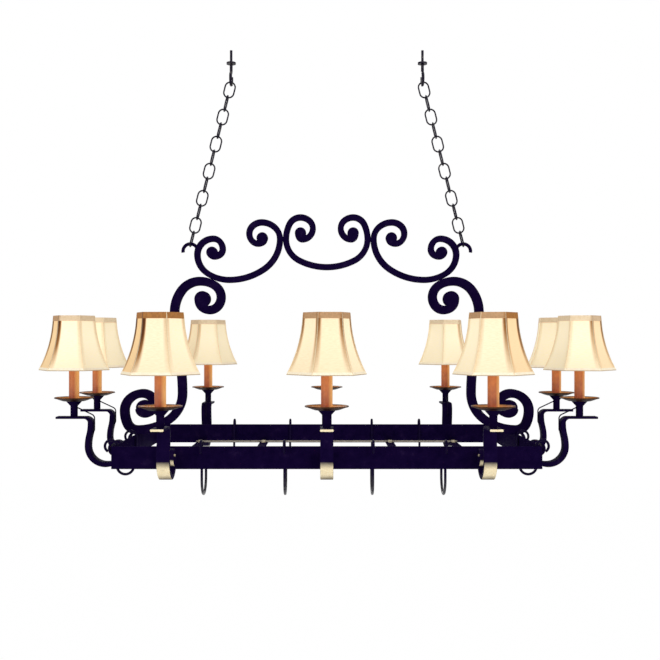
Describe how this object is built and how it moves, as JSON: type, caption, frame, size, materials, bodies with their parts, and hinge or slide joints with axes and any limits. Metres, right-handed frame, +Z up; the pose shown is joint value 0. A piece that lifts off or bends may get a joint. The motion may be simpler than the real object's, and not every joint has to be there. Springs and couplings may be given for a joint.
{
  "type": "hanging lighted pot rack",
  "caption": "Rectangular wrought-iron pot rack hung by two chains from a scrolled arch, with sliding hooks and candle lamps under bell shades on all sides.",
  "frame": {"origin": "on the ceiling plane, midway between the two ceiling hooks", "axes": "+X along the rack's long side, +Z up, the front of the rack faces -Y"},
  "size_m": [1.277, 0.8901, 1.0011],
  "materials": {
    "wrought_iron": "satin black, slightly hammered",
    "hook_iron": "satin black",
    "chain_steel": "black, worn grey at the bends",
    "pan_bronze": "dark reddish bronze",
    "amber_sleeve": "translucent amber",
    "socket_plastic": "black",
    "bulb_glass": "frosted",
    "shade_fabric": "cream, brown seams and top trim",
    "shade_wire": "plain wire",
    "lead_sheath": "dull",
    "tail_sheath": "dark",
    "clip_plastic": "cream"
  },
  "bodies": {
    "ceiling": {"left_ceiling_hook": "chain_steel", "right_ceiling_hook": "chain_steel"},
    "rack": {"front_rail": "wrought_iron", "back_rail": "wrought_iron", "left_rail": "wrought_iron", "right_rail": "wrought_iron", "cross_bars": "wrought_iron", "front_lamp_arms": "wrought_iron", "back_lamp_arms": "wrought_iron", "left_lamp_arms": "wrought_iron", "right_lamp_arms": "wrought_iron", "arm_rivets": "wrought_iron", "lamp_stems": "wrought_iron", "left_c_scroll": "wrought_iron", "middle_c_scroll": "wrought_iron", "right_c_scroll": "wrought_iron", "left_scroll_leg": "wrought_iron", "right_scroll_leg": "wrought_iron", "chain_horns": "wrought_iron", "left_chain": "chain_steel", "right_chain": "chain_steel", "lamp_lead": "lead_sheath", "lead_clips": "clip_plastic", "lamp_tails": "tail_sheath", "drip_pans": "pan_bronze", "candle_sleeves": "amber_sleeve", "lamp_sockets": "socket_plastic", "bulbs": "bulb_glass"},
    "lamp_shade_01": {"shade_01": "shade_fabric", "shade_frame_01": "shade_wire"},
    "lamp_shade_02": {"shade_02": "shade_fabric", "shade_frame_02": "shade_wire"},
    "lamp_shade_03": {"shade_03": "shade_fabric", "shade_frame_03": "shade_wire"},
    "lamp_shade_04": {"shade_04": "shade_fabric", "shade_frame_04": "shade_wire"},
    "lamp_shade_05": {"shade_05": "shade_fabric", "shade_frame_05": "shade_wire"},
    "lamp_shade_06": {"shade_06": "shade_fabric", "shade_frame_06": "shade_wire"},
    "lamp_shade_07": {"shade_07": "shade_fabric", "shade_frame_07": "shade_wire"},
    "lamp_shade_08": {"shade_08": "shade_fabric", "shade_frame_08": "shade_wire"},
    "lamp_shade_09": {"shade_09": "shade_fabric", "shade_frame_09": "shade_wire"},
    "lamp_shade_10": {"shade_10": "shade_fabric", "shade_frame_10": "shade_wire"},
    "front_pot_hook_1_body": {"front_pot_hook_1": "hook_iron"},
    "front_pot_hook_2_body": {"front_pot_hook_2": "hook_iron"},
    "front_pot_hook_3_body": {"front_pot_hook_3": "hook_iron"},
    "front_pot_hook_4_body": {"front_pot_hook_4": "hook_iron"},
    "back_pot_hook_1_body": {"back_pot_hook_1": "hook_iron"},
    "back_pot_hook_2_body": {"back_pot_hook_2": "hook_iron"},
    "back_pot_hook_3_body": {"back_pot_hook_3": "hook_iron"},
    "back_pot_hook_4_body": {"back_pot_hook_4": "hook_iron"},
    "left_pot_hook_1_body": {"left_pot_hook_1": "hook_iron"},
    "left_pot_hook_2_body": {"left_pot_hook_2": "hook_iron"},
    "right_pot_hook_1_body": {"right_pot_hook_1": "hook_iron"},
    "right_pot_hook_2_body": {"right_pot_hook_2": "hook_iron"}
  },
  "joints": [
    {"name": "rack_swing", "type": "hinge", "parent": "ceiling", "child": "rack", "pos_m": [0, 0, -0.04825], "axis": [1, 0, 0], "range_deg": [-12, 12]},
    {"name": "shade_01_turn", "type": "hinge", "parent": "rack", "child": "lamp_shade_01", "pos_m": [-0.323, -0.37, -0.66608], "axis": [0, 0, 1], "continuous": true},
    {"name": "shade_02_turn", "type": "hinge", "parent": "rack", "child": "lamp_shade_02", "pos_m": [0, -0.37, -0.66608], "axis": [0, 0, 1], "continuous": true},
    {"name": "shade_03_turn", "type": "hinge", "parent": "rack", "child": "lamp_shade_03", "pos_m": [0.323, -0.37, -0.66608], "axis": [0, 0, 1], "continuous": true},
    {"name": "shade_04_turn", "type": "hinge", "parent": "rack", "child": "lamp_shade_04", "pos_m": [-0.323, 0.37, -0.66608], "axis": [0, 0, 1], "continuous": true},
    {"name": "shade_05_turn", "type": "hinge", "parent": "rack", "child": "lamp_shade_05", "pos_m": [0, 0.37, -0.66608], "axis": [0, 0, 1], "continuous": true},
    {"name": "shade_06_turn", "type": "hinge", "parent": "rack", "child": "lamp_shade_06", "pos_m": [0.323, 0.37, -0.66608], "axis": [0, 0, 1], "continuous": true},
    {"name": "shade_07_turn", "type": "hinge", "parent": "rack", "child": "lamp_shade_07", "pos_m": [-0.561, -0.105, -0.66608], "axis": [0, 0, 1], "continuous": true},
    {"name": "shade_08_turn", "type": "hinge", "parent": "rack", "child": "lamp_shade_08", "pos_m": [-0.561, 0.105, -0.66608], "axis": [0, 0, 1], "continuous": true},
    {"name": "shade_09_turn", "type": "hinge", "parent": "rack", "child": "lamp_shade_09", "pos_m": [0.561, -0.105, -0.66608], "axis": [0, 0, 1], "continuous": true},
    {"name": "shade_10_turn", "type": "hinge", "parent": "rack", "child": "lamp_shade_10", "pos_m": [0.561, 0.105, -0.66608], "axis": [0, 0, 1], "continuous": true},
    {"name": "front_hook_1_slide", "type": "slide", "parent": "rack", "child": "front_pot_hook_1_body", "axis": [1, 0, 0], "range_m": [-0.04495, 0.08105]},
    {"name": "front_hook_2_slide", "type": "slide", "parent": "rack", "child": "front_pot_hook_2_body", "axis": [1, 0, 0], "range_m": [-0.05747, 0.06753]},
    {"name": "front_hook_3_slide", "type": "slide", "parent": "rack", "child": "front_pot_hook_3_body", "axis": [1, 0, 0], "range_m": [-0.07561, 0.04939]},
    {"name": "front_hook_4_slide", "type": "slide", "parent": "rack", "child": "front_pot_hook_4_body", "axis": [1, 0, 0], "range_m": [-0.06748, 0.05852]},
    {"name": "back_hook_1_slide", "type": "slide", "parent": "rack", "child": "back_pot_hook_1_body", "axis": [1, 0, 0], "range_m": [-0.06401, 0.06199]},
    {"name": "back_hook_2_slide", "type": "slide", "parent": "rack", "child": "back_pot_hook_2_body", "axis": [1, 0, 0], "range_m": [-0.05004, 0.07496]},
    {"name": "back_hook_3_slide", "type": "slide", "parent": "rack", "child": "back_pot_hook_3_body", "axis": [1, 0, 0], "range_m": [-0.09693, 0.02807]},
    {"name": "back_hook_4_slide", "type": "slide", "parent": "rack", "child": "back_pot_hook_4_body", "axis": [1, 0, 0], "range_m": [-0.06199, 0.06401]},
    {"name": "left_hook_1_slide", "type": "slide", "parent": "rack", "child": "left_pot_hook_1_body", "axis": [0, 1, 0], "range_m": [-0.003, 0.115]},
    {"name": "left_hook_2_slide", "type": "slide", "parent": "rack", "child": "left_pot_hook_2_body", "axis": [0, 1, 0], "range_m": [-0.045, 0.026]},
    {"name": "right_hook_1_slide", "type": "slide", "parent": "rack", "child": "right_pot_hook_1_body", "axis": [0, 1, 0], "range_m": [-0.003, 0.115]},
    {"name": "right_hook_2_slide", "type": "slide", "parent": "rack", "child": "right_pot_hook_2_body", "axis": [0, 1, 0], "range_m": [-0.045, 0.026]}
  ]
}
